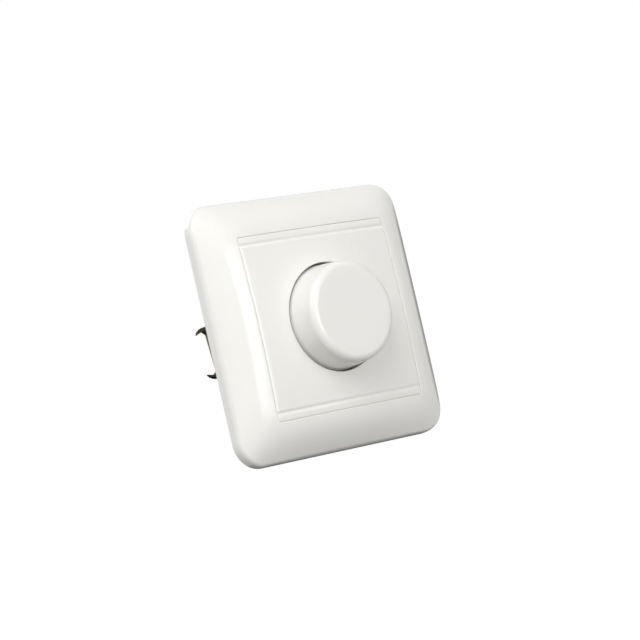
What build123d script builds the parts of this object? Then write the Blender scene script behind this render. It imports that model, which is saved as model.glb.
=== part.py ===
from build123d import *
import os
from math import cos, radians, sin

# Flush rotary dimmer for a round wall box, in millimetres.
# The wall is the plane Y = 0, the room lies at -Y, the box at +Y, and up is +Z.
# Outlines are drawn in X and Z and pushed along Y.

# Cover frame and centre plate
FRAME_SIDE = 80.0
FRAME_CORNER = 8.5
FRAME_RIM = 3.3
FRAME_WALL = 2.0
FRAME_DRAFT = 5.0
COLLAR_CORNER = 1.5
RIB_PLACES = (-18.0, 18.0)
RIB_THICKNESS = 1.2
RIB_BACK = -2.6
CROWN_HEIGHT = 11.3
CROWN_RADIUS = 336.0
SHOULDER_START = 28.0
SHOULDER_POWER = 2.3
SQUARENESS = 10.8
WINDOW_SIDE = 56.2
WINDOW_CORNER = 0.5
PLATE_SIDE = 56.1
PLATE_SKIN = 2.0
PLATE_WALL = 1.6
GROOVE_LINE = 25.5
GROOVE_WIDTH = 1.4
GROOVE_DEPTH = 0.15
FLANGE_DEPTH = -4.6
FLANGE_THICKNESS = 1.2
NOTCH_START = 24.5
NOTCH_END = 29.4
NOTCH_FRONT = -2.2

# Knob
HOLE_RADIUS = 16.9
KNOB_FRONT = -20.6
KNOB_BACK = -6.4
KNOB_RADIUS = 15.5
KNOB_SKIRT_RADIUS = 16.6
KNOB_EDGE = 2.3
KNOB_SKIN = 1.9
KNOB_RIBS = 6
KNOB_RIB_THICKNESS = 1.2
KNOB_RIB_DEPTH = 4.0
BOSS_RADIUS = 5.0
BOSS_BACK = -9.4

# Mounting plate and claws
STEEL = 1.0
STEEL_SIDE = 71.0
BOX_SCREW_SPACING = 60.0
BOX_SLOT_LENGTH = 6.0
BOX_SLOT_WIDTH = 3.8
CLAW_SHEET = 1.2
CLAW_CENTRE = -1.55
CLAW_OUTSIDE = -25.7
CLAW_TILT = 4.0
CLAW_BACK = 20.4
CLAW_REACH = 8.1
CLAW_PIVOT_X = -18.8
CLAW_TAB_Z = 4.4
CLAW_TAB_FRONT = -0.95
CLAW_SCREW_X = -21.6
CLAW_SCREW_RADIUS = 1.5
TOOTH_TIP_X = -29.65
RUNNING_GAP = 0.05

# Housing
HOUSING_RADIUS = 26.4
HOUSING_HALF_WIDTH = 17.6
HOUSING_WALL = 1.6
COVER_BACK = 2.0
HOUSING_BACK = 24.0
FLOOR = 2.0
POST_X = 14.4
POST_Z = 16.9
POST_RADIUS = 3.0

# Potentiometer and switch
BUSH_RADIUS = 4.95
SHAFT_RADIUS = 3.0
SHAFT_FLAT = 1.5
CAN_RADIUS = 8.5
CAN_BACK = 8.0
WELL_FLOOR = -2.6
WELL_WALL = 1.2
SWITCH_BACK = 16.5
SPRING_RADIUS = 2.6
SPRING_WIRE = 0.25
SPRING_TURNS = 4

# Circuit board and what stands on it
BOARD_FRONT = 9.4
BOARD_BACK = 11.0
TRIAC_HOLE_Z = 21.5
TERMINALS_X = (-10.5, -2.5, 5.5)
TERMINAL_Z = -16.9
TERMINAL_SCREW_Y = 16.5
TRIMMER_X = -11.8
TRIMMER_Z = -9.8


def at_depth(y):
    """Sketch plane parallel to the wall, at depth y, seen from the room."""
    return Plane.XZ.offset(-y)


def block(outline, front, back):
    """Pushes an outline drawn in X and Z from its front depth to its back depth."""
    return extrude(at_depth(back) * outline, back - front)


def disc(radius, front, back, x=0, z=0):
    return block(Pos(x, z) * Circle(radius), front, back)


def ring(outer, inner, front, back, x=0, z=0):
    return block(Pos(x, z) * (Circle(outer) - Circle(inner)), front, back)


def bar(x0, x1, z0, z1, front, back):
    """Box between two X, two Z and two Y values."""
    return block(Pos((x0 + x1) / 2, (z0 + z1) / 2) * Rectangle(x1 - x0, z1 - z0), front, back)


def square(side, corner):
    return RectangleRounded(side, side, corner)


def turned(*points):
    """Revolves a closed profile of (radius, depth) points about the knob's axis."""
    return revolve(make_face(Polyline(*points, close=True)), axis=Axis.Y)


def save(node, *solids):
    """Writes one sub-part, which may be a group of like solids."""
    shape = solids[0] if len(solids) == 1 else Compound(children=list(solids))
    export_step(shape, f"parts/{node}.step")


def half_turn(shape):
    """The same thing on the other side of the dimmer."""
    return shape.rotate(Axis.Y, 180)


# The moulded face: a gentle crown that falls off in a rounded shoulder to a low rim.

def face_height(x, z, half, rim, crown):
    reach = (abs(x) ** SQUARENESS + abs(z) ** SQUARENESS) ** (1 / SQUARENESS)
    inward = (half - reach) / (half - SHOULDER_START)
    share = 1 if inward > 1 else 1 - (1 - inward) ** SHOULDER_POWER
    top = crown - (x * x + z * z) / (2 * CROWN_RADIUS)
    return rim + (top - rim) * share


def pillow(side, corner, rim, crown, draft):
    """Rounded square block under the moulded face, standing on the wall."""
    half = side / 2
    edge = half + 2
    steps = 36
    places = [-edge + 2 * edge * i / steps for i in range(steps + 1)]
    points = [[Vector(x, -face_height(x, z, half - 0.3, rim, crown), z) for x in places] for z in places]
    face = Face.make_surface_from_array_of_points(points, tol=0.02)
    above = extrude(face, 2 * crown, dir=(0, -1, 0))
    return extrude(at_depth(0) * square(side, corner), crown + 1, taper=draft) - above


FACE = pillow(FRAME_SIDE, FRAME_CORNER, FRAME_RIM, CROWN_HEIGHT, FRAME_DRAFT)
UNDERSIDE = pillow(
    FRAME_SIDE - 2 * FRAME_WALL, FRAME_CORNER - FRAME_WALL, FRAME_RIM - 1.3, CROWN_HEIGHT - PLATE_SKIN, 0
)
SUNK_FACE = Pos(0, GROOVE_DEPTH, 0) * FACE


def outer_frame():
    collar_side = WINDOW_SIDE + 2 * PLATE_WALL
    shell = FACE - UNDERSIDE
    collar = SUNK_FACE & block(square(collar_side, COLLAR_CORNER), -CROWN_HEIGHT, FLANGE_DEPTH)
    frame = shell + collar - block(square(WINDOW_SIDE, WINDOW_CORNER), -CROWN_HEIGHT - 1, 1)
    # Two stiffening ribs run from the collar to the wall of the frame on each side.
    start, end = collar_side / 2 - 0.15, FRAME_SIDE / 2 - FRAME_WALL / 2
    for turn in range(4):
        for place in RIB_PLACES:
            low, high = place - RIB_THICKNESS / 2, place + RIB_THICKNESS / 2
            rib = bar(start, end, low, high, -CROWN_HEIGHT, RIB_BACK)
            frame += rib.rotate(Axis.Y, 90 * turn) & SUNK_FACE
    return frame


def centre_plate():
    prism = block(square(PLATE_SIDE, 0.4), -CROWN_HEIGHT - 1, -STEEL)
    inside = block(square(PLATE_SIDE - 2 * PLATE_WALL, 0.8), -CROWN_HEIGHT - 1, 0)
    plate = (FACE & prism) - (inside & UNDERSIDE)
    for side in (-1, 1):
        line = side * GROOVE_LINE
        low, high = line - GROOVE_WIDTH / 2, line + GROOVE_WIDTH / 2
        slot = bar(-FRAME_SIDE / 2, FRAME_SIDE / 2, low, high, -CROWN_HEIGHT - 1, 0)
        plate -= slot - SUNK_FACE
    flange_side = WINDOW_SIDE + 2 * PLATE_WALL - 0.6
    flange_outline = square(flange_side, 1.2) - square(PLATE_SIDE - 1, 0.4)
    flange = block(flange_outline, FLANGE_DEPTH, FLANGE_DEPTH + FLANGE_THICKNESS)
    well = ring(HOLE_RADIUS + WELL_WALL, HOLE_RADIUS, -CROWN_HEIGHT, -STEEL) & SUNK_FACE
    floor = ring(HOLE_RADIUS + WELL_WALL, BUSH_RADIUS + 0.2, WELL_FLOOR, -STEEL)
    # The well's hole is cut first, so that its wall and floor stay.
    plate = plate - disc(HOLE_RADIUS, -CROWN_HEIGHT - 1, 0)
    plate = plate + flange + well + floor
    # The corners are notched at the back, clear of the mounting plate.
    notch = bar(NOTCH_START, NOTCH_END, NOTCH_START, NOTCH_END, NOTCH_FRONT, 0)
    for turn in range(4):
        plate -= notch.rotate(Axis.Y, 90 * turn)
    return plate


def knob():
    body = turned(
        (0, KNOB_FRONT), (KNOB_RADIUS, KNOB_FRONT), (KNOB_SKIRT_RADIUS, KNOB_BACK), (0, KNOB_BACK)
    )
    body = fillet(body.edges().sort_by(Axis.Y)[0], KNOB_EDGE)
    hollow_front = KNOB_FRONT + KNOB_SKIN
    hollow = turned(
        (0, hollow_front), (KNOB_RADIUS - KNOB_SKIN, hollow_front),
        (KNOB_SKIRT_RADIUS - KNOB_SKIN, KNOB_BACK + 1), (0, KNOB_BACK + 1),
    )
    boss = disc(BOSS_RADIUS, hollow_front, BOSS_BACK)
    half = KNOB_RIB_THICKNESS / 2
    rib = bar(BOSS_RADIUS - 0.5, KNOB_RADIUS - 1, -half, half, hollow_front, BOSS_BACK - KNOB_RIB_DEPTH)
    ribs = [rib.rotate(Axis.Y, i * 360 / KNOB_RIBS) for i in range(KNOB_RIBS)]
    body = body - (hollow - boss - ribs)
    body -= ring(KNOB_SKIRT_RADIUS - KNOB_SKIN, BOSS_RADIUS, BOSS_BACK, KNOB_BACK + 2)
    body -= disc(BOSS_RADIUS + 1, BOSS_BACK, KNOB_BACK + 2)
    return body - shaft_form(SHAFT_RADIUS + RUNNING_GAP, KNOB_FRONT + 2.8, BOSS_BACK + 1)


def shaft_form(radius, front, back):
    """Round bar with a flat along its upper side."""
    flat = Pos(0, SHAFT_FLAT + radius) * Rectangle(2 * radius, 2 * radius)
    return block(Circle(radius) - flat, front, back)


def knob_clip():
    gap = bar(-8, 0, -2, 2, -16, -8)
    return ring(BOSS_RADIUS + 0.42, BOSS_RADIUS + 0.02, -13.2, -10.2) - gap


def pot_shaft():
    shaft = disc(SHAFT_RADIUS, -8, 2)
    return shaft + shaft_form(SHAFT_RADIUS, -17.6, -8) + shaft_form(SHAFT_RADIUS, 2, 8.6)


def pot_bush():
    tube = disc(BUSH_RADIUS, -7.2, 3.6) + disc(6.5, 2.8, 3.6)
    return tube - disc(SHAFT_RADIUS + RUNNING_GAP, -8, 4)


def pot_case():
    can = disc(CAN_RADIUS, COVER_BACK, CAN_BACK) - disc(CAN_RADIUS - 0.6, COVER_BACK + 0.8, CAN_BACK)
    can -= disc(BUSH_RADIUS + 0.05, 1, 4)
    # The rotor's nose runs against this stop at both ends of its turn.
    can += bar(-3, 3, -CAN_RADIUS + 0.3, -6.95, 4.2, 6.2)
    return can - bar(-4.2, 4.2, -CAN_RADIUS - 1, -6, 7.1, CAN_BACK)


def pot_rotor():
    rotor = disc(6.8, 3.8, 6.6)
    # A stop nose, and the flatted hole that the shaft slides in.
    rotor += bar(-1, 1, 6, 7.5, 4.2, 6.2)
    return rotor - shaft_form(SHAFT_RADIUS + RUNNING_GAP, 3, 7)


def pot_brush():
    carrier = ring(6.6, 3.9, 6.6, 6.9) - bar(-1.5, 1.5, 0, 7, 6, 7)
    for angle in (200, 270, 340):
        carrier += disc(0.5, 6.9, 7.1, 5.9 * cos(radians(angle)), 5.9 * sin(radians(angle)))
    return carrier


def pot_track():
    track = disc(CAN_RADIUS - 0.65, 7.2, CAN_BACK) + bar(-4, 4, -9.3, -6.5, 7.2, CAN_BACK)
    for x in (-2.5, 0, 2.5):
        track += bar(x - 0.4, x + 0.4, -8.9, -8.4, CAN_BACK, BOARD_FRONT)
    return track - disc(SHAFT_RADIUS + 0.3, 7, 9)


def switch_case():
    case = bar(-8, 8, -7.3, 7.3, CAN_BACK, SWITCH_BACK) - bar(-7, 7, -6.3, 6.3, 9, SWITCH_BACK - 0.8)
    case -= disc(SHAFT_RADIUS + 0.3, 7, 10) + disc(1.9, 14, 18)
    return case - bar(-9, 9, -1.6, 1.6, 11.9, 12.6)


def switch_plunger():
    return disc(2.9, 8.65, 10.4) + disc(4.4, 10.4, 11.2) + disc(1.6, 11.2, 14.4)


def switch_bridge():
    return bar(-6.6, 6.6, -1.5, 1.5, 9.9, 10.4) + disc(3.9, 9.9, 10.4) - disc(2.95, 9, 11)


def switch_contacts():
    right = bar(5.2, 9.2, -1.5, 1.5, 12.0, 12.5) + bar(8.6, 9.2, -1.5, 1.5, BOARD_BACK, 12.0)
    right += disc(0.9, 11.95, 12.0, 6.1, 0)
    return right, half_turn(right)


def return_spring():
    front, back = 11.2 + SPRING_WIRE, SWITCH_BACK - 0.8 - SPRING_WIRE
    path = Helix((back - front) / SPRING_TURNS, back - front, SPRING_RADIUS)
    section = Plane(path @ 0, z_dir=path % 0) * RegularPolygon(SPRING_WIRE, 6)
    coil = sweep(section, path=path)
    return (Pos(0, front, 0) * Rot(-90, 0, 0)) * coil


def mounting_plate():
    sheet = square(STEEL_SIDE, 5) - Circle(BUSH_RADIUS + 0.15)
    box_slot = SlotOverall(BOX_SLOT_LENGTH, BOX_SLOT_WIDTH, rotation=90)
    for side in (-1, 1):
        sheet -= Pos(0, side * BOX_SCREW_SPACING / 2) * box_slot
        sheet -= Pos(side * CLAW_SCREW_X, side * CLAW_CENTRE) * SlotOverall(5, 3.4)
        for tab in (-1, 1):
            slot = Pos(side * (CLAW_PIVOT_X - 0.3 - CLAW_SCREW_X), tab * CLAW_TAB_Z) * Rectangle(2.2, 1.8)
            sheet -= Pos(side * CLAW_SCREW_X, side * CLAW_CENTRE) * Rot(0, 0, CLAW_TILT) * slot
        sheet -= Pos(side * POST_X, -side * POST_Z) * Circle(1.6)
        sheet -= Pos(side * STEEL_SIDE / 2, 0) * Circle(1.5)
        sheet -= Pos(0, side * STEEL_SIDE / 2) * Circle(1.5)
    sheet -= Pos(0, TRIAC_HOLE_Z) * Circle(1.65)
    sheet -= Pos(TRIMMER_X, TRIMMER_Z) * Circle(1.7)
    return block(sheet, -STEEL, 0)


def claw():
    """The left claw: a folded sheet with two teeth, hooked in the mounting plate by two tabs.

    It hangs a little turned about its screw.
    """
    inside = CLAW_OUTSIDE + CLAW_SHEET
    web_outline = Polyline(
        (2.2, 5), (9, 5), (14, CLAW_REACH), (CLAW_BACK, CLAW_REACH),
        (CLAW_BACK, -CLAW_REACH), (14, -CLAW_REACH), (9, -5), (2.2, -5), close=True
    )
    side_plane = Plane(origin=(CLAW_OUTSIDE, 0, CLAW_CENTRE), x_dir=(0, 1, 0), z_dir=(1, 0, 0))
    shape = extrude(side_plane * make_face(web_outline), CLAW_SHEET)
    tongue = bar(inside, -19.2, CLAW_CENTRE - 3.4, CLAW_CENTRE + 3.4, CLAW_BACK - CLAW_SHEET, CLAW_BACK)
    collar = disc(2.2, CLAW_BACK - 2.6, CLAW_BACK - CLAW_SHEET, CLAW_SCREW_X, CLAW_CENTRE)
    shape += tongue + collar
    cheek_outline = make_face(Polyline(
        (CLAW_OUTSIDE, 2.2), (CLAW_OUTSIDE, 9), (inside, 9), (CLAW_PIVOT_X + 0.6, 2.4),
        (CLAW_PIVOT_X + 0.6, CLAW_TAB_FRONT), (CLAW_PIVOT_X - 0.6, CLAW_TAB_FRONT), (CLAW_PIVOT_X - 0.6, 0.4),
        close=True
    ))
    tooth_outline = make_face(Polyline(
        (CLAW_OUTSIDE + 0.5, 13.5), (TOOTH_TIP_X, CLAW_BACK - 0.7), (TOOTH_TIP_X + 0.3, CLAW_BACK - 0.2),
        (CLAW_OUTSIDE + 0.5, CLAW_BACK), close=True
    ))
    for side in (-1, 1):
        cheek_plane = Plane.XY.offset(CLAW_CENTRE + side * CLAW_TAB_Z - CLAW_SHEET / 2)
        cheek = extrude(cheek_plane * cheek_outline, CLAW_SHEET)
        # The tooth's tip is bent towards the claw's middle.
        bend = Pos(0, CLAW_CENTRE) * make_face(Polyline(
            (CLAW_OUTSIDE + 0.6, side * 5.2), (-26.2, side * 6.1), (-26.8, side * 6.65), (-27.6, side * 6.85),
            (-28.7, side * 6.6), (TOOTH_TIP_X, side * 6.1), (-28.7, side * 7.2), (-27.6, side * 7.8),
            (-26.6, side * CLAW_REACH), (CLAW_OUTSIDE + 0.6, side * CLAW_REACH), close=True
        ))
        tooth = block(bend, 13, CLAW_BACK) & extrude(Plane.XY.offset(-20) * tooth_outline, 40)
        shape += [cheek, tooth]
    shape -= disc(CLAW_SCREW_RADIUS + RUNNING_GAP, 0, 25, CLAW_SCREW_X, CLAW_CENTRE)
    return shape.rotate(Axis((CLAW_SCREW_X, 0, CLAW_CENTRE), (0, 1, 0)), -CLAW_TILT)


def screw(radius, head_radius, head_height, seat, tip, x=0, z=0):
    """Pan head screw along Y, with a cross recess and a bevelled head."""
    head = disc(head_radius, seat - head_height, seat, x, z)
    head = chamfer(head.edges().group_by(Axis.Y)[0], head_height * 0.35)
    arm = head_radius * 0.6
    cross = Pos(x, z) * (Rectangle(2 * arm, 0.7) + Rectangle(0.7, 2 * arm))
    recess = block(cross, seat - head_height - 0.1, seat - head_height * 0.35)
    return head + disc(radius, seat, tip, x, z) - recess


def claw_screw():
    return screw(CLAW_SCREW_RADIUS, 2.7, 2.1, -STEEL - 0.05, 21.6, CLAW_SCREW_X, CLAW_CENTRE)


def housing_outline(inset):
    radius = HOUSING_RADIUS - inset
    width = 2 * (HOUSING_HALF_WIDTH - inset)
    return Circle(radius) & Rectangle(width, 4 * radius)


POSTS = ((-POST_X, POST_Z), (POST_X, -POST_Z))


def front_cover():
    cover = block(housing_outline(0), 0, COVER_BACK)
    lip = housing_outline(HOUSING_WALL + 0.1) - housing_outline(HOUSING_WALL + 1.2)
    cover += block(lip, COVER_BACK, COVER_BACK + 1)
    cover -= disc(BUSH_RADIUS + 0.15, -1, 3)
    cover -= bar(-5.5, 5.5, 9.4, 24.7, -1, 4)
    cover -= disc(1.7, -1, 4, TRIMMER_X, TRIMMER_Z)
    for x, z in POSTS:
        cover -= disc(POST_RADIUS + 0.3, COVER_BACK, 4, x, z) + disc(1.6, -1, 3, x, z)
    return cover


def rear_housing():
    shell = block(housing_outline(0), COVER_BACK, HOUSING_BACK)
    shell = fillet(shell.edges().group_by(Axis.Y)[-1], 1.2)
    shell -= block(housing_outline(HOUSING_WALL), COVER_BACK, HOUSING_BACK - FLOOR)
    for x, z in POSTS:
        post = disc(POST_RADIUS, COVER_BACK, HOUSING_BACK - FLOOR, x, z) - disc(1.45, COVER_BACK, 14, x, z)
        shell += post
    # Ledges that the circuit board rests on.
    for side in (-1, 1):
        edge = HOUSING_HALF_WIDTH - HOUSING_WALL
        ledge = (side * (edge - 0.9), side * (edge + 0.4))
        shell += bar(*sorted(ledge), -2 - 3 * side, 2 - 3 * side, BOARD_BACK, HOUSING_BACK - FLOOR)
    for x in TERMINALS_X:
        shell -= disc(1.9, HOUSING_BACK - FLOOR - 1, HOUSING_BACK + 1, x, TERMINAL_Z)
        shell -= Pos(x, TERMINAL_SCREW_Y, -HOUSING_RADIUS) * Cylinder(2.75, 16)
    # Vents over the warm parts.
    for i in range(5):
        shell -= block(Pos(0, 8 + 3 * i) * SlotOverall(16, 1.2), HOUSING_BACK - FLOOR - 1, HOUSING_BACK + 1)
    return shell


def board_outline():
    outline = housing_outline(HOUSING_WALL + 0.3) - Rectangle(17.4, 16)
    for x, z in POSTS:
        outline -= Pos(x, z) * Circle(POST_RADIUS + 0.4)
    return outline


def triac():
    tab = bar(-5, 5, 9.8, 24.4, 0.3, 1.6) - disc(1.8, 0, 3, 0, TRIAC_HOLE_Z)
    package = bar(-5, 5, 9.8, 18.2, 1.6, 4.8)
    legs = [bar(x - 0.4, x + 0.4, 9.2, 9.8, 2.5, BOARD_FRONT) for x in (-2.54, 0, 2.54)]
    return tab + package + legs


def hex_nut(across_flats, hole, front, back, x=0, z=0):
    outline = RegularPolygon(across_flats / 2, 6, major_radius=False) - Circle(hole)
    return block(Pos(x, z) * outline, front, back)


CHOKE_X, CHOKE_Z, CHOKE_RADIUS = 7.9, 14.8, 5.9
CHOKE_FRONT, CHOKE_BACK = 11.6, 18.6


def choke_core():
    return ring(CHOKE_RADIUS, 3.0, CHOKE_FRONT, CHOKE_BACK, CHOKE_X, CHOKE_Z)


def choke_winding():
    wire = 0.6
    turns = 18
    loop = bar(3.0 - wire, CHOKE_RADIUS + wire, -0.28, 0.28, CHOKE_FRONT - wire, CHOKE_BACK + wire)
    loop -= bar(3.0 - 0.05, CHOKE_RADIUS + 0.05, -1, 1, CHOKE_FRONT - 0.05, CHOKE_BACK + 0.05)
    loops = [loop.rotate(Axis.Y, 20 + i * 320 / (turns - 1)) for i in range(turns)]
    # The wires lie side by side in the core's eye, where a thin sleeve joins them.
    sleeve = ring(3.0 - 0.05, 3.0 - wire, CHOKE_FRONT - wire, CHOKE_BACK + wire)
    return Pos(CHOKE_X, 0, CHOKE_Z) * (sleeve + loops)


def film_capacitor():
    body = bar(-10.6, 0.6, 9.2, 17, BOARD_BACK + 0.4, 21)
    body = fillet(body.edges().filter_by(Axis.Y), 0.6)
    return body + disc(0.4, BOARD_BACK, 12, -8.8, 13) + disc(0.4, BOARD_BACK, 12, -1.2, 13)


def timing_capacitors():
    one = bar(9.8, 14.8, 2.2, 4.8, BOARD_BACK, 17)
    return one, Pos(0, 0, -6) * one


def axial(x, z, radius, length):
    """Part with a lead at each end, bent down to the board, lying along Z."""
    y = BOARD_BACK + radius + 0.2
    wire = 0.3
    body = Pos(x, y, z) * Cylinder(radius, length)
    lead = Pos(x, y, z) * Cylinder(wire, length + 3)
    ends = [disc(wire, BOARD_BACK, y, x, z + side * (length / 2 + 1.2)) for side in (-1, 1)]
    return body + lead + ends


def fuse():
    z, y = -10.6, 14.3
    glass = Pos(-2, y, z) * Rot(0, 90, 0) * Cylinder(2.35, 10.4)
    cap = Pos(5.7, y, z) * Rot(0, 90, 0) * Cylinder(2.6, 5)
    caps = cap, Pos(-15.4, 0, 0) * cap
    clip = bar(4.4, 7.0, z - 3.0, z + 3.0, BOARD_BACK, y + 2.2) - bar(4, 8, z - 2.65, z + 2.65, 11.5, y + 3)
    return glass, caps, (clip, Pos(-15.4, 0, 0) * clip)


def terminal_cages():
    cages = []
    for x in TERMINALS_X:
        cage = bar(x - 3.5, x + 3.5, TERMINAL_Z - 3.4, TERMINAL_Z + 3.2, BOARD_BACK, 21)
        cage -= disc(1.7, 12.5, 22, x, TERMINAL_Z)
        cage -= Pos(x, TERMINAL_SCREW_Y, TERMINAL_Z - 3) * Cylinder(1.53, 6)
        cages.append(cage)
    return cages


def terminal_screws():
    upright = []
    for x in TERMINALS_X:
        one = screw(1.5, 2.4, 1.8, 0, 3.6)
        upright.append(Pos(x, TERMINAL_SCREW_Y, TERMINAL_Z - 3.45) * one.rotate(Axis.X, 90))
    return upright


def trimmer():
    body = bar(TRIMMER_X - 3.3, TRIMMER_X + 3.3, TRIMMER_Z - 3.3, TRIMMER_Z + 3.3, 5, BOARD_FRONT)
    body -= disc(2.4, 4, 7.6, TRIMMER_X, TRIMMER_Z)
    rotor = disc(2.35, 4.6, 7.5, TRIMMER_X, TRIMMER_Z)
    rotor -= bar(TRIMMER_X - 2.5, TRIMMER_X + 2.5, TRIMMER_Z - 0.3, TRIMMER_Z + 0.3, 4, 5.4)
    return body, rotor


os.makedirs("parts", exist_ok=True)
save("outer_frame", outer_frame())
save("centre_plate", centre_plate())
save("knob", knob())
save("knob_clip", knob_clip())
save("bush_nut", hex_nut(14, BUSH_RADIUS + RUNNING_GAP, WELL_FLOOR - 2.7, WELL_FLOOR - 0.5))
save("bush_washer", ring(8.4, BUSH_RADIUS + 0.1, WELL_FLOOR - 0.5, WELL_FLOOR))
save("mounting_plate", mounting_plate())
save("claw_left", claw())
save("claw_right", half_turn(claw()))
save("claw_screw_left", claw_screw())
save("claw_screw_right", half_turn(claw_screw()))
save("pot_bush", pot_bush())
save("pot_case", pot_case())
save("pot_shaft", pot_shaft())
save("pot_rotor", pot_rotor())
save("pot_brush", pot_brush())
save("pot_track", pot_track())
save("switch_case", switch_case())
save("switch_plunger", switch_plunger())
save("switch_bridge", switch_bridge())
save("switch_contacts", *switch_contacts())
save("return_spring", return_spring())
save("front_cover", front_cover())
save("rear_housing", rear_housing())
save("housing_screws", *[screw(1.4, 2.5, 1.9, -STEEL, 12, x, z) for x, z in POSTS])
save("circuit_board", block(board_outline(), BOARD_FRONT, BOARD_BACK))
save("triac", triac())
save("thermal_pad", bar(-5.4, 5.4, 9.5, 24.6, 0, 0.3) - disc(1.7, -1, 1, 0, TRIAC_HOLE_Z))
save("triac_screw", screw(1.5, 2.6, 1.9, -STEEL, 5, 0, TRIAC_HOLE_Z))
save("triac_nut", hex_nut(5.4, 1.55, 1.6, 3.9, 0, TRIAC_HOLE_Z))
save("choke_core", choke_core())
save("choke_winding", choke_winding())
save("film_capacitor", film_capacitor())
save("timing_capacitors", *timing_capacitors())
save("resistors", axial(-13.4, 1, 1.15, 6.2), axial(-10.75, 1, 1.15, 6.2))
save("diac", axial(12.7, -8.4, 0.95, 3.8))
glass, caps, clips = fuse()
save("fuse_tube", glass)
save("fuse_caps", *caps)
save("fuse_clips", *clips)
save("terminal_cages", *terminal_cages())
save("terminal_screws", *terminal_screws())
body, rotor = trimmer()
save("trimmer_body", body)
save("trimmer_rotor", rotor)
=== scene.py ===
from math import cos, pi, radians, sin, sqrt, tan

import bmesh
import bpy
from mathutils import Matrix, Quaternion, Vector


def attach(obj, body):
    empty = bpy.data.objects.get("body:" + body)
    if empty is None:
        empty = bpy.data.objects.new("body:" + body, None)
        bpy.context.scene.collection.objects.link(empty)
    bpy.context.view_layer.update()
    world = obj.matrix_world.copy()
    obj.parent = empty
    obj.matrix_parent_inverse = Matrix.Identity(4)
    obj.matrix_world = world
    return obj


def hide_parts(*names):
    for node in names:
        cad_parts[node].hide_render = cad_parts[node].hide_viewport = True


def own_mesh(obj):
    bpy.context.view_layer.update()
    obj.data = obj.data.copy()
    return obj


# Flush rotary dimmer. The wall is the plane Y = 0, the room lies at -Y, and up is +Z.
# The frame, the centre plate and the knob get finer meshes that stand for their solids. Those
# shapes are worked out in millimetres. The meshes, the studio and the camera are in metres.

MM = 0.001

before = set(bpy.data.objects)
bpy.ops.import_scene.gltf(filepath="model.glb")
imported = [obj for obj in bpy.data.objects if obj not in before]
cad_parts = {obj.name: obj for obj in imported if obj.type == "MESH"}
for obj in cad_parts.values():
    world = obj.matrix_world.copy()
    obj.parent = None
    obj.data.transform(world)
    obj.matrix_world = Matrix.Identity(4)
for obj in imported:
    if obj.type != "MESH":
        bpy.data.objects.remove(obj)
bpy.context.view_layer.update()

# Sizes as in the part's source, apart from the roundings, the softer grooves and the plate's
# slightly narrower gap to the window. Heights are over the wall, towards the room.

# The moulded face that frame and plate share
CROWN_HEIGHT = 11.3
CROWN_RADIUS = 336.0
SHOULDER_START = 28.0
SHOULDER_POWER = 2.3
SQUARENESS = 10.8
SKIN = 2.0
UNDER_RIM = 2.0
UNDER_LEAST = 0.5
EDGE_ROUND = 0.2

# Cover frame
FRAME_HALF = 40.0
FRAME_CORNER = 8.5
FRAME_RIM = 3.3
FRAME_WALL = 2.0
FRAME_DRAFT = 5.0
RIM_INSET = 0.3
RIM_ROUND = 1.4
RIM_SHARE = 0.065
WINDOW_HALF = 28.1
WINDOW_CORNER = 0.5
COLLAR_WALL = 1.6
COLLAR_CORNER = 1.5
COLLAR_BACK = 4.6
RIB_OFFSET = 18.0
RIB_HALF_WIDTH = 0.6
RIB_BACK = 2.6
RIB_START = WINDOW_HALF + COLLAR_WALL - 0.15
RIB_END = FRAME_HALF - 3.0
# How far ribs run into the skin and the boss they stand on
RIB_SINK = 0.4

# Centre plate
PLATE_HALF = 28.092
PLATE_ROUND = 0.45
PLATE_BACK = 1.0
PLATE_WALL = 1.6
GROOVE_LINE = 25.5
GROOVE_HALF_WIDTH = 0.85
GROOVE_DEPTH = 0.26
FLANGE_FRONT = 4.6
FLANGE_BACK = 3.4
FLANGE_HALF = 29.4
FLANGE_CORNER = 1.2
FLANGE_LAP = 0.5
FLANGE_LAP_CORNER = 0.4
HOLE_RADIUS = 16.9
WELL_RADIUS = 18.1
WELL_FLOOR = 2.6
FLOOR_HOLE = 5.15

# Knob
KNOB_FRONT = 20.6
KNOB_BACK = 6.4
KNOB_RADIUS = 15.5
KNOB_SKIRT_RADIUS = 16.6
KNOB_EDGE = 2.3
KNOB_SKIN = 1.9
KNOB_RIBS = 6
KNOB_RIB_BACK = 13.4
KNOB_RIB_END = KNOB_RADIUS - 1.0
SKIRT_ROUND = 0.3
BOSS_RADIUS = 5.0
BOSS_BACK = 9.4
BORE_RADIUS = 3.05
BORE_FRONT = 17.8
# Radius of the small flat caps in the middle of the front and of the bore
CAP_RADIUS = 0.4

# How fine the meshes are
SHARP_ANGLE = 35
WELD_DISTANCE = 0.003
SIDE_STEPS = 44
ARC_STEPS = 20
ROUND_STEPS = 5

# The frame's rings. The first few lie at these shares of the way up its wall.
WALL_SHARES = (0, 0.05, 0.25)
RIM_PASSES = 6
RIM_STEPS = 10
FACE_STEPS = 52
FACE_EASE = 1.1
EDGE_CLEARANCE = 1.3
UNDER_STEPS = 16
RIB_STEPS = 8

# The plate's grid and the rings inside it, with lines one STEP to each side of upright walls
STEP = 0.02
GRID_HALF = 20.0
GRID_STEPS = 20
BAND_STEPS = 9
GROOVE_STEPS = 12
FLOOR_RINGS = (12.0, 8.5)

# The knob's rings, and its skirt's lower edge as steps inward and up
FRONT_RINGS = (CAP_RADIUS, 4.0, 8.0, 11.0)
KNOB_EDGE_STEPS = 12
SKIRT_STEPS = 8
SKIRT_EDGE = ((0.1, 0.08), (SKIRT_ROUND, 0.0))
LATHE_STEPS = 144


# Mesh helpers

def new_object(name, data):
    """Object in the scene for a mesh, a lamp or a camera."""
    made = bpy.data.objects.new(name, data)
    bpy.context.scene.collection.objects.link(made)
    return made


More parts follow.
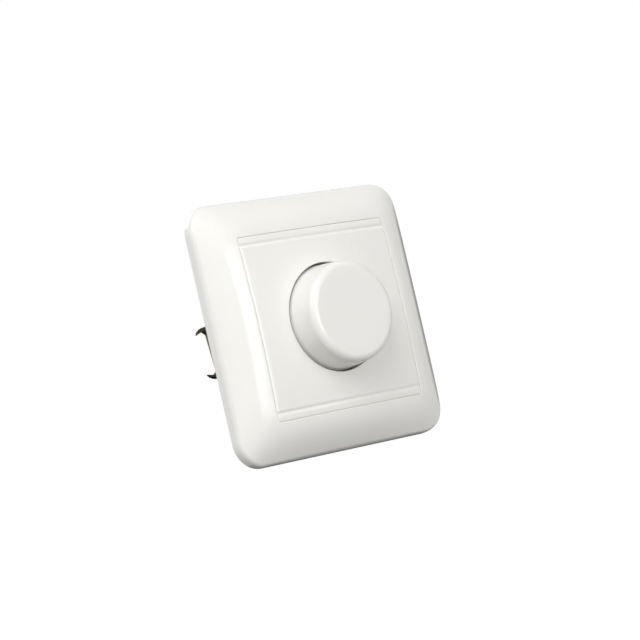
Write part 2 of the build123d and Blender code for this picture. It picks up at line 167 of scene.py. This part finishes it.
def spread(start, end, steps):
    """Evenly spaced values from start to end, both included."""
    return [start + (end - start) * i / steps for i in range(steps + 1)]


def mesh_object(name, points, faces):
    """Smooth-shaded mesh from points in millimetres, with its normals outwards."""
    mesh = bpy.data.meshes.new(name)
    mesh.from_pydata([Vector(p) * MM for p in points], [], faces)
    welded = bmesh.new()
    welded.from_mesh(mesh)
    bmesh.ops.remove_doubles(welded, verts=welded.verts, dist=WELD_DISTANCE * MM)
    bmesh.ops.recalc_face_normals(welded, faces=welded.faces)
    welded.to_mesh(mesh)
    welded.free()
    mesh.shade_smooth()
    mesh.set_sharp_from_angle(angle=radians(SHARP_ANGLE))
    return new_object(name, mesh)


def skin_faces(rings, count, closed, start=0):
    """Quads between rings of points that follow one another."""
    faces = []
    for i in range(rings if closed else rings - 1):
        here, there = start + i * count, start + (i + 1) % rings * count
        for k in range(count):
            m = (k + 1) % count
            faces.append((here + k, here + m, there + m, there + k))
    return faces


def box_faces(start):
    """Faces of a prism whose first four points are one end and whose next four are the other."""
    ends = [(0, 1, 2, 3), (7, 6, 5, 4)]
    sides = [(i, (i + 1) % 4, (i + 1) % 4 + 4, i + 4) for i in range(4)]
    return [tuple(start + i for i in face) for face in ends + sides]


def add_quad(points, faces, corners):
    """Adds a face with four points of its own."""
    faces.append(tuple(range(len(points), len(points) + 4)))
    points += corners


# The moulded face: a gentle crown that falls off in a rounded shoulder to a low rim

def face_height(x, z, half=FRAME_HALF - RIM_INSET, rim=FRAME_RIM, crown=CROWN_HEIGHT):
    """Height of the face at (x, z)."""
    reach = (abs(x) ** SQUARENESS + abs(z) ** SQUARENESS) ** (1 / SQUARENESS)
    inward = (half - reach) / (half - SHOULDER_START)
    share = 1 if inward > 1 else 1 - (1 - inward) ** SHOULDER_POWER
    top = crown - (x * x + z * z) / (2 * CROWN_RADIUS)
    return rim + (top - rim) * share


def under_height(x, z):
    """Height of the underside of the face's skin at (x, z)."""
    half = FRAME_HALF - FRAME_WALL - RIM_INSET
    return face_height(x, z, half, UNDER_RIM, CROWN_HEIGHT - SKIN)


def rounding(distance, radius=EDGE_ROUND):
    """How far a rounded edge lies under the face at some distance from the side it turns into."""
    within = min(max(distance, 0), radius)
    return radius - sqrt(radius ** 2 - (radius - within) ** 2)


def edge_distances(radius=EDGE_ROUND):
    """Distances from a side at which the points of its rounded edge lie."""
    return [radius * (1 - sin(angle)) for angle in spread(0, pi / 2, ROUND_STEPS)]


# Cover frame

def rounded_square(half, corner):
    """Points around a square with rounded corners, always in the same number and order."""
    straight = half - corner
    quarter = [(half, z) for z in spread(-straight, straight, SIDE_STEPS)]
    for angle in spread(0, pi / 2, ARC_STEPS)[1:-1]:
        quarter.append((straight + corner * cos(angle), straight + corner * sin(angle)))
    points = list(quarter)
    for _ in range(3):
        quarter = [(-z, x) for x, z in quarter]
        points += quarter
    return points


def between(start, end, share):
    """Outline part of the way from one outline to another, as (x, z) points."""
    return [
        (a[0] + (b[0] - a[0]) * share, a[1] + (b[1] - a[1]) * share)
        for a, b in zip(start, end)
    ]


def wall_outline(height):
    """Outline of the drafted outer wall at some height."""
    inset = height * tan(radians(FRAME_DRAFT))
    return rounded_square(FRAME_HALF - inset, FRAME_CORNER - inset)


def rim_points():
    """Where the outer wall meets the moulded face, as (x, z, height), found in a few passes."""
    found = []
    heights = [FRAME_RIM] * len(wall_outline(0))
    for _ in range(RIM_PASSES):
        found = [(*wall_outline(h)[i], h) for i, h in enumerate(heights)]
        heights = [face_height(x, z) for x, z, _ in found]
    return found


def rounded_rim(rim, foot, window):
    """Rings that carry the outer wall over into the face on a curve."""
    columns = []
    for (x, z, height), (x0, z0), (x1, z1) in zip(rim, foot, window):
        corner = Vector((x, -height, z))
        below = corner + (Vector((x0, 0, z0)) - corner).normalized() * RIM_ROUND
        ahead = Vector((x + (x1 - x) * RIM_SHARE, 0, z + (z1 - z) * RIM_SHARE))
        ahead.y = -face_height(ahead.x, ahead.z)
        column = []
        for t in spread(0, 1, RIM_STEPS)[:-1]:
            column.append(tuple(below * (1 - t) ** 2 + corner * 2 * t * (1 - t) + ahead * t ** 2))
        columns.append(column)
    return [list(ring) for ring in zip(*columns)]


def face_shares(width):
    """Places of the face's rings on the way from the rim to the window's rounded edge."""
    shares = [
        RIM_SHARE + (1 - RIM_SHARE) * (i / FACE_STEPS) ** FACE_EASE for i in range(FACE_STEPS)
    ]
    shares += [1 - d / width for d in edge_distances()]
    edge_start = 1 - EDGE_ROUND / width
    too_close = 1 - EDGE_CLEARANCE * EDGE_ROUND / width
    return sorted(s for s in shares if s < too_close or s >= edge_start)


def cover_frame():
    """One closed skin of rings, from the foot of the wall over the face and back, and its ribs."""
    rim = rim_points()
    foot = rounded_square(FRAME_HALF, FRAME_CORNER)
    window = rounded_square(WINDOW_HALF, WINDOW_CORNER)
    collar = rounded_square(WINDOW_HALF + COLLAR_WALL, COLLAR_CORNER)
    inner = rounded_square(FRAME_HALF - FRAME_WALL, FRAME_CORNER - FRAME_WALL)
    rings = []
    for share in WALL_SHARES:
        outline = between(foot, rim, share)
        rings.append([(x, -h * share, z) for (x, z), (_, _, h) in zip(outline, rim)])
    rings += rounded_rim(rim, foot, window)
    width = FRAME_HALF - WINDOW_HALF
    for share in face_shares(width):
        drop = rounding((1 - share) * width)
        outline = between(rim, window, share)
        rings.append([(x, -face_height(x, z) + drop, z) for x, z in outline])
    # The window's side and the collar, then the underside and back to the wall.
    rings.append([(x, -COLLAR_BACK, z) for x, z in window])
    rings.append([(x, -COLLAR_BACK, z) for x, z in collar])
    for share in spread(0, 1, UNDER_STEPS):
        outline = between(collar, inner, share)
        rings.append([(x, -max(under_height(x, z), UNDER_LEAST), z) for x, z in outline])
    rings.append([(x, 0, z) for x, z in inner])
    points = [p for ring in rings for p in ring]
    faces = skin_faces(len(rings), len(window), closed=True)
    for quarter in range(4):
        for offset in (-RIB_OFFSET, RIB_OFFSET):
            add_rib(points, faces, quarter, offset)
    return mesh_object("cover_frame", points, faces)


def add_rib(points, faces, quarter, offset):
    """Stiffening rib under the frame's face, from the collar to the outer wall."""
    start = len(points)
    turn = Matrix.Rotation(quarter * pi / 2, 3, "Y")
    stations = spread(RIB_START, RIB_END, RIB_STEPS)
    for x in stations:
        top = under_height(x, offset) + RIB_SINK
        for side, height in ((-1, RIB_BACK), (1, RIB_BACK), (1, top), (-1, top)):
            corner = Vector((x, -height, offset + side * RIB_HALF_WIDTH))
            points.append(tuple(turn @ corner))
    faces += skin_faces(len(stations), 4, closed=False, start=start)
    last = start + 4 * (len(stations) - 1)
    faces += [(start, start + 1, start + 2, start + 3), (last + 3, last + 2, last + 1, last)]


# Centre plate: a front and a back height over one grid, with a round patch about the knob's well

def plate_front(x, z):
    """Height of the plate's front: the moulded face, its edges, the two grooves and the well."""
    radius = sqrt(x * x + z * z)
    if radius < HOLE_RADIUS - STEP / 2:
        return WELL_FLOOR
    side = PLATE_HALF - max(abs(x), abs(z))
    height = face_height(x, z) - rounding(side, PLATE_ROUND) - rounding(radius - HOLE_RADIUS)
    off_line = abs(abs(z) - GROOVE_LINE) / GROOVE_HALF_WIDTH
    if off_line < 1:
        height -= GROOVE_DEPTH * (0.5 + 0.5 * cos(pi * off_line))
    return height


def plate_back(x, z):
    """Height of the plate's back: its hollow, the wall around it, and the well's wall and floor."""
    inside = max(abs(x), abs(z)) < PLATE_HALF - PLATE_WALL
    if inside and sqrt(x * x + z * z) > WELL_RADIUS:
        return under_height(x, z)
    return PLATE_BACK


def grid_lines(groove):
    """Places of the grid's lines along one side, closer at edges, grooves and walls."""
    lines = spread(0, GRID_HALF, GRID_STEPS)
    lines += spread(GRID_HALF, PLATE_HALF - PLATE_ROUND, BAND_STEPS)
    if groove:
        low, high = GROOVE_LINE - GROOVE_HALF_WIDTH, GROOVE_LINE + GROOVE_HALF_WIDTH
        lines = [v for v in lines if abs(v - GROOVE_LINE) > GROOVE_HALF_WIDTH]
        lines += spread(low, high, GROOVE_STEPS)
    lines += [PLATE_HALF - PLATE_WALL - STEP, PLATE_HALF - PLATE_WALL + STEP]
    lines += [PLATE_HALF - d for d in edge_distances(PLATE_ROUND)]
    lines = sorted(set(round(v, 4) for v in lines))
    return [-v for v in reversed(lines) if v > 0] + lines


def plate_cells():
    """Quads that cover the plate, each as four (x, z) corners."""
    xs, zs = grid_lines(False), grid_lines(True)
    cells = []
    for x0, x1 in zip(xs, xs[1:]):
        for z0, z1 in zip(zs, zs[1:]):
            if max(abs(x0), abs(x1), abs(z0), abs(z1)) > GRID_HALF + STEP:
                cells.append(((x0, z0), (x1, z0), (x1, z1), (x0, z1)))
    side = [v for v in xs if abs(v) <= GRID_HALF]
    around = [(GRID_HALF, v) for v in side[:-1]]
    for _ in range(3):
        around += [(-z, x) for x, z in around[-len(side) + 1:]]
    radii = [WELL_RADIUS + STEP, WELL_RADIUS - STEP]
    radii += sorted((HOLE_RADIUS + d for d in edge_distances()), reverse=True)
    radii += [HOLE_RADIUS - STEP, *FLOOR_RINGS, FLOOR_HOLE]
    rings = [around]
    for radius in radii:
        rings.append([tuple(Vector(p).normalized() * radius) for p in around])
    for outer, inner in zip(rings, rings[1:]):
        for k, corner in enumerate(outer):
            m = (k + 1) % len(outer)
            cells.append((corner, outer[m], inner[m], inner[k]))
    return cells


def plate_boundary(cells):
    """Sides that only one quad has, at the plate's edge and at the hole in its floor."""
    count = {}
    for cell in cells:
        for a, b in zip(cell, cell[1:] + cell[:1]):
            key = frozenset((tuple(round(v, 4) for v in a), tuple(round(v, 4) for v in b)))
            count[key] = count.get(key, 0) + 1
    return [tuple(key) for key, times in count.items() if times == 1]


def centre_plate():
    """Front and back over the same quads, joined at the open sides, and the flange."""
    cells = plate_cells()
    points, faces = [], []
    for height in (plate_front, plate_back):
        for cell in cells:
            add_quad(points, faces, [(x, -height(x, z), z) for x, z in cell])
    for a, b in plate_boundary(cells):
        corners = [(*a, plate_front), (*b, plate_front), (*b, plate_back), (*a, plate_back)]
        add_quad(points, faces, [(x, -height(x, z), z) for x, z, height in corners])
    # The flange behind the frame's collar.
    inner = rounded_square(PLATE_HALF - FLANGE_LAP, FLANGE_LAP_CORNER)
    outer = rounded_square(FLANGE_HALF, FLANGE_CORNER)
    section = (
        (inner, FLANGE_FRONT), (outer, FLANGE_FRONT), (outer, FLANGE_BACK), (inner, FLANGE_BACK),
    )
    faces += skin_faces(len(section), len(inner), closed=True, start=len(points))
    for outline, height in section:
        points += [(x, -height, z) for x, z in outline]
    return mesh_object("domed_plate", points, faces)


# Knob: a turned profile, from the middle of its front round the skirt to its bore, and its ribs

def knob_profile():
    """Radius and height of each ring."""
    edge_height = KNOB_FRONT - KNOB_EDGE
    profile = [(r, KNOB_FRONT) for r in FRONT_RINGS]
    for angle in spread(0, pi / 2, KNOB_EDGE_STEPS):
        radius = KNOB_RADIUS - KNOB_EDGE + KNOB_EDGE * sin(angle)
        profile.append((radius, edge_height + KNOB_EDGE * cos(angle)))
    flare = (KNOB_SKIRT_RADIUS - KNOB_RADIUS) / (edge_height - KNOB_BACK)
    for height in spread(edge_height, KNOB_BACK + SKIRT_ROUND, SKIRT_STEPS)[1:]:
        profile.append((KNOB_RADIUS + flare * (edge_height - height), height))
    profile += [(KNOB_SKIRT_RADIUS - inward, KNOB_BACK + rise) for inward, rise in SKIRT_EDGE]
    hollow_front = KNOB_FRONT - KNOB_SKIN
    profile += [(KNOB_SKIRT_RADIUS - KNOB_SKIN, KNOB_BACK), (KNOB_RADIUS - KNOB_SKIN, hollow_front)]
    profile += [(BOSS_RADIUS, hollow_front), (BOSS_RADIUS, BOSS_BACK)]
    profile += [(BORE_RADIUS, BOSS_BACK), (BORE_RADIUS, BORE_FRONT), (CAP_RADIUS, BORE_FRONT)]
    return profile


def knob():
    """The profile turned about the knob's axis, and the ribs in its hollow."""
    profile = knob_profile()
    points = []
    for radius, height in profile:
        for i in range(LATHE_STEPS):
            angle = 2 * pi * i / LATHE_STEPS
            points.append((radius * cos(angle), -height, radius * sin(angle)))
    faces = skin_faces(len(profile), LATHE_STEPS, closed=False)
    faces.append(tuple(range(LATHE_STEPS)))
    faces.append(tuple(range(len(points) - LATHE_STEPS, len(points))))
    top = KNOB_FRONT - KNOB_SKIN + RIB_SINK
    for i in range(KNOB_RIBS):
        turn = Matrix.Rotation(2 * pi * i / KNOB_RIBS, 3, "Y")
        faces += box_faces(len(points))
        for x in (BOSS_RADIUS - RIB_SINK, KNOB_RIB_END):
            for side, height in ((-1, top), (1, top), (1, KNOB_RIB_BACK), (-1, KNOB_RIB_BACK)):
                points.append(tuple(turn @ Vector((x, -height, side * RIB_HALF_WIDTH))))
    return mesh_object("turning_knob", points, faces)


# Materials

REFRACTION = 1.5
MATTE = 0.9
RAMP_ENDS = (0.3, 0.7)
BROAD_DETAIL = 4
FINE_DETAIL = 3
LEAST_ROUGHNESS = 0.02
RELIEF_DEPTH = 0.00003


def grey(level):
    """Colour of a neutral tone, from 0, black, to 1, white."""
    return (level, level, level, 1)


def set_inputs(node, values):
    """Sets inputs of a node by their names."""
    for name, value in values.items():
        node.inputs[name].default_value = value
    return node


def new_node(tree, kind, values):
    """Node with values for its inputs."""
    return set_inputs(tree.nodes.new(kind), values)


def computed(tree, operation, *sources):
    """Result of a maths node that takes other nodes' outputs."""
    node = tree.nodes.new("ShaderNodeMath")
    node.operation = operation
    for source, target in zip(sources, node.inputs):
        tree.links.new(source, target)
    return node.outputs[0]


def shader_of(material):
    """The node that shades a material."""
    return material.node_tree.nodes["Principled BSDF"]


def new_material(name, values):
    """Material with values for the inputs of its shader."""
    material = bpy.data.materials.new(name)
    material.use_nodes = True
    set_inputs(shader_of(material), values)
    return material


def surface(name, colour, roughness, metallic, shade, scale=400, bump=0.1, grain=2500,
            spread_rough=0.08, stretch=(1, 1, 1), transmission=0.0):
    """Material whose colour and roughness vary softly, with a fine grain in its relief."""
    material = new_material(name, {
        "Metallic": metallic, "Transmission Weight": transmission, "IOR": REFRACTION,
    })
    shader = shader_of(material)
    tree = material.node_tree
    links = tree.links
    place = tree.nodes.new("ShaderNodeTexCoord")
    mapping = new_node(tree, "ShaderNodeMapping", {"Scale": stretch})
    broad = new_node(tree, "ShaderNodeTexNoise", {"Scale": scale, "Detail": BROAD_DETAIL})
    fine = new_node(tree, "ShaderNodeTexNoise", {"Scale": grain, "Detail": FINE_DETAIL})
    ramp = tree.nodes.new("ShaderNodeValToRGB")
    darker = [c * (1 - shade) for c in colour]
    lighter = [min(c * (1 + shade), 1) for c in colour]
    for stop, position, tone in zip(ramp.color_ramp.elements, RAMP_ENDS, (darker, lighter)):
        stop.position = position
        stop.color = (*tone, 1)
    rough = new_node(tree, "ShaderNodeMapRange", {
        "To Min": max(roughness - spread_rough, LEAST_ROUGHNESS),
        "To Max": roughness + spread_rough,
    })
    relief = new_node(tree, "ShaderNodeBump", {"Strength": bump, "Distance": RELIEF_DEPTH})
    links.new(place.outputs["Object"], mapping.inputs["Vector"])
    links.new(mapping.outputs["Vector"], broad.inputs["Vector"])
    links.new(mapping.outputs["Vector"], fine.inputs["Vector"])
    links.new(broad.outputs["Fac"], ramp.inputs["Fac"])
    links.new(ramp.outputs["Color"], shader.inputs["Base Color"])
    links.new(broad.outputs["Fac"], rough.inputs["Value"])
    links.new(rough.outputs["Result"], shader.inputs["Roughness"])
    links.new(fine.outputs["Fac"], relief.inputs["Height"])
    links.new(relief.outputs["Normal"], shader.inputs["Normal"])
    return material


def white_plastic():
    """Glossy warm white of the moulded pieces."""
    return surface("white_plastic", (0.855, 0.847, 0.812), 0.17, 0.0, 0.006, scale=60, bump=0.03,
                   grain=1400, spread_rough=0.03)


# Distances from the middle between which the claws' colour turns from the web's to the teeth's
# painted shade, which stands for the shadow and dark reflections on the teeth
TOOTH_START, TOOTH_DARK = 25.55, 26.2
TOOTH_PAINTED_SHADE = (0.035, 0.034, 0.03, 1)
CLAW_TINT = (0.4, 0.38, 0.32, 1)


def claw_steel():
    """Yellow-passivated steel whose teeth are painted nearly black: painted shade for the shadow
    and dark reflections on them.
    """
    material = surface("claw_steel", (0.27, 0.245, 0.155), 0.34, 1.0, 0.18, scale=500, bump=0.2,
                       grain=5000)
    shader = set_inputs(shader_of(material), {"Specular Tint": CLAW_TINT})
    tree = material.node_tree
    links = tree.links
    web_colour = shader.inputs["Base Color"].links[0].from_socket
    place = tree.nodes.new("ShaderNodeTexCoord")
    axes = tree.nodes.new("ShaderNodeSeparateXYZ")
    links.new(place.outputs["Object"], axes.inputs["Vector"])
    reach = computed(tree, "ABSOLUTE", axes.outputs["X"])
    # Painted shade: out from the middle, the colour turns nearly black between TOOTH_START and
    # TOOTH_DARK
    painted_shade = new_node(tree, "ShaderNodeMapRange", {
        "From Min": TOOTH_START * MM, "From Max": TOOTH_DARK * MM,
    })
    links.new(reach, painted_shade.inputs["Value"])
    blend = tree.nodes.new("ShaderNodeMix")
    blend.data_type = "RGBA"
    set_inputs(blend, {"B": TOOTH_PAINTED_SHADE})
    links.new(painted_shade.outputs["Result"], blend.inputs["Factor"])
    links.new(web_colour, blend.inputs["A"])
    links.new(blend.outputs["Result"], shader.inputs["Base Color"])
    return material


# Finishes of the CAD nodes: name, colour, roughness, metallic and shade, what else surface()
# takes, and the nodes that have it
FINISHES = (
    ("zinc_plate", (0.66, 0.66, 0.64), 0.34, 0.75, 0.08,
     {"scale": 300, "bump": 0.14, "grain": 5000},
     ("mounting_plate", "bush_washer", "bush_nut", "triac_screw", "triac_nut", "housing_screws",
      "claw_screw_left", "claw_screw_right")),
    ("spring_steel", (0.5, 0.5, 0.52), 0.3, 1.0, 0.05, {"scale": 600},
     ("knob_clip", "return_spring")),
    ("brass", (0.78, 0.56, 0.26), 0.3, 1.0, 0.06, {"scale": 500},
     ("pot_bush", "switch_contacts", "switch_bridge", "terminal_cages", "fuse_clips",
      "pot_brush")),
    ("nickel", (0.6, 0.58, 0.55), 0.25, 1.0, 0.04, {"scale": 500},
     ("pot_case", "fuse_caps", "terminal_screws")),
    ("aluminium", (0.75, 0.76, 0.78), 0.35, 1.0, 0.05, {"scale": 300, "stretch": (1, 8, 1)},
     ("pot_shaft",)),
    ("dark_polyamide", (0.02, 0.02, 0.022), 0.5, 0.0, 0.15,
     {"scale": 200, "bump": 0.35, "grain": 3000},
     ("front_cover", "rear_housing", "switch_case")),
    ("natural_plastic", (0.72, 0.7, 0.6), 0.45, 0.0, 0.04, {},
     ("switch_plunger", "pot_rotor")),
    ("paper_laminate", (0.36, 0.22, 0.08), 0.6, 0.0, 0.12, {"scale": 900, "bump": 0.3},
     ("circuit_board", "pot_track")),
    ("black_epoxy", (0.015, 0.015, 0.017), 0.45, 0.0, 0.2, {},
     ("triac", "choke_core", "resistors")),
    ("grey_silicone", (0.3, 0.31, 0.33), 0.7, 0.0, 0.08, {}, ("thermal_pad",)),
    ("enamelled_copper", (0.5, 0.16, 0.05), 0.25, 0.9, 0.08, {}, ("choke_winding",)),
    ("yellow_box", (0.72, 0.42, 0.03), 0.35, 0.0, 0.05, {},
     ("film_capacitor", "timing_capacitors")),
    ("fuse_glass", (0.9, 0.95, 0.95), 0.05, 0.0, 0.02, {"transmission": 0.95}, ("fuse_tube",)),
    ("diode_glass", (0.6, 0.15, 0.08), 0.08, 0.0, 0.04, {"transmission": 0.6}, ("diac",)),
    ("blue_moulding", (0.02, 0.07, 0.3), 0.4, 0.0, 0.08, {}, ("trimmer_body",)),
    ("white_moulding", (0.78, 0.78, 0.74), 0.4, 0.0, 0.03, {}, ("trimmer_rotor",)),
)


def dress(material, names):
    """Gives CAD nodes their material."""
    for name in names:
        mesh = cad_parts[name].data
        mesh.materials.clear()
        mesh.materials.append(material)


def dress_frame():
    """Gives the CAD nodes their finishes."""
    dress(claw_steel(), ("claw_left", "claw_right"))
    for name, colour, roughness, metallic, shade, further, names in FINISHES:
        dress(surface(name, colour, roughness, metallic, shade, **further), names)


def coil_spring():
    """The return spring as a piece of its own on the root body, in place of its CAD node."""
    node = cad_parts["return_spring"]
    mesh = node.data.copy()
    mesh.transform(node.matrix_world)
    piece = new_object("coil_spring", mesh)
    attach(piece, "root")
    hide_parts("return_spring")
    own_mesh(piece)


# Studio: a pale floor under the part, a white surround, soft lamps and two cards, in metres

AMBIENT = 0.2
FLOOR_Z = -0.62
FLOOR_SIZE = 30.0
FLOOR_GREY = 0.3
NEAR, FAR = 0.4, 1.6
NEAR_GLOW = 0.79
CARD_GREY = 0.01

# Azimuth, elevation, distance, width, height and power of each lamp
LAMPS = {
    "upper_left": (58, 43, 1.3, 1.0, 1.0, 9.8),
    "broad_front": (18, 20, 1.3, 2.0, 1.2, 5.8),
    "front_panel": (-6, 3, 1.2, 0.73, 0.55, 4.4),
    "low_front": (24, -18, 1.3, 1.4, 0.7, 1.2),
    "left_side": (98, 8, 1.2, 0.8, 0.8, 1.6),
    "behind": (168, 25, 1.5, 1.2, 1.0, 13.0),
}

# Azimuth, elevation, distance, width and height of each card
CARDS = {
    "card_behind": (-140, -3, 0.6, 0.7, 0.5),
    "card_below": (-138, -45, 0.5, 0.5, 0.42),
}


def is_seen(tree):
    """1 on the rays that show the surround: from the camera, off gloss and through glass."""
    rays = tree.nodes.new("ShaderNodeLightPath").outputs
    seen = computed(tree, "MAXIMUM", rays["Is Camera Ray"], rays["Is Glossy Ray"])
    return computed(tree, "MAXIMUM", seen, rays["Is Transmission Ray"])


def surround():
    """White where it is seen, and a faint even light for the rest."""
    world = bpy.data.worlds.new("studio")
    bpy.context.scene.world = world
    world.use_nodes = True
    tree = world.node_tree
    background = set_inputs(tree.nodes["Background"], {"Color": grey(1)})
    strength = new_node(tree, "ShaderNodeMapRange", {"To Min": AMBIENT, "To Max": 1.0})
    tree.links.new(is_seen(tree), strength.inputs["Value"])
    tree.links.new(strength.outputs["Result"], background.inputs["Strength"])


def floor():
    """Pale floor: near the part its own light leaves room for the shadow, far off it is white."""
    bpy.ops.mesh.primitive_plane_add(size=FLOOR_SIZE, location=(0, 0, FLOOR_Z))
    ground = bpy.context.object
    ground.name = "floor"
    material = new_material("floor", {
        "Base Color": grey(FLOOR_GREY), "Roughness": MATTE, "Specular IOR Level": 0.0,
        "Emission Color": grey(1),
    })
    tree = material.node_tree
    place = tree.nodes.new("ShaderNodeTexCoord")
    distance = tree.nodes.new("ShaderNodeVectorMath")
    distance.operation = "LENGTH"
    tree.links.new(place.outputs["Object"], distance.inputs[0])
    glow = new_node(tree, "ShaderNodeMapRange", {
        "From Min": NEAR, "From Max": FAR, "To Min": NEAR_GLOW, "To Max": 1.0,
    })
    tree.links.new(distance.outputs["Value"], glow.inputs["Value"])
    shown = computed(tree, "MULTIPLY", glow.outputs["Result"], is_seen(tree))
    tree.links.new(shown, shader_of(material).inputs["Emission Strength"])
    ground.data.materials.append(material)


def toward(azimuth, elevation):
    """Direction from the part. Azimuth 0 is in front of it, and positive is to its left."""
    a, e = radians(azimuth), radians(elevation)
    return Vector((-sin(a) * cos(e), -cos(a) * cos(e), sin(e)))


def softbox(name, azimuth, elevation, distance, width, height, power):
    """Area lamp that looks at the part."""
    lamp = bpy.data.lights.new(name, "AREA")
    lamp.shape = "RECTANGLE"
    lamp.size, lamp.size_y = width, height
    lamp.energy = power
    holder = new_object(name, lamp)
    holder.location = toward(azimuth, elevation) * distance
    holder.rotation_euler = holder.location.to_track_quat("Z", "Y").to_euler()
    holder.visible_camera = False


def dark_card(name, azimuth, elevation, distance, width, height):
    """Black card that only gloss shows. It darkens the mouldings' far edges."""
    bpy.ops.mesh.primitive_plane_add(size=1)
    card = bpy.context.object
    card.name = name
    card.scale = (width, height, 1)
    card.location = toward(azimuth, elevation) * distance
    card.rotation_euler = (-card.location).to_track_quat("Z", "Y").to_euler()
    black = new_material(name, {"Base Color": grey(CARD_GREY), "Roughness": MATTE})
    card.data.materials.append(black)
    card.visible_camera = False
    card.visible_diffuse = False
    card.visible_shadow = False


# Camera, from the plate's corners and the hole in the photograph

CAMERA_PLACE = (-0.4683, -0.5952, -0.0512)
CAMERA_AZIMUTH = 38.357
CAMERA_ELEVATION = 3.902
CAMERA_ROLL = 12.997
CAMERA_LENS = 139.8155
SENSOR = 36.0
CLIP_START, CLIP_END = 0.05, 50.0


def camera():
    """The photograph's view."""
    data = bpy.data.cameras.new("camera")
    data.sensor_width = SENSOR
    data.lens = CAMERA_LENS
    data.clip_start, data.clip_end = CLIP_START, CLIP_END
    a, e = radians(CAMERA_AZIMUTH), radians(CAMERA_ELEVATION)
    look = Vector((sin(a) * cos(e), cos(a) * cos(e), sin(e)))
    turn = look.to_track_quat("-Z", "Y") @ Quaternion((0, 0, 1), -radians(CAMERA_ROLL))
    holder = new_object("camera", data)
    holder.location = CAMERA_PLACE
    holder.rotation_euler = turn.to_euler()
    bpy.context.scene.camera = holder


# The moulded pieces stand for their CAD nodes
plastic = white_plastic()
for piece, node, body in (
    (cover_frame(), "outer_frame", "root"),
    (centre_plate(), "centre_plate", "root"),
    (knob(), "knob", "knob"),
):
    piece.data.materials.append(plastic)
    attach(piece, body)
    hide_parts(node)

# The spring's mesh is copied with its finish, so the nodes are dressed first
dress_frame()
coil_spring()

surround()
floor()
for name, card in CARDS.items():
    dark_card(name, *card)
for name, lamp in LAMPS.items():
    softbox(name, *lamp)
camera()

bpy.context.scene.view_settings.view_transform = "Standard"
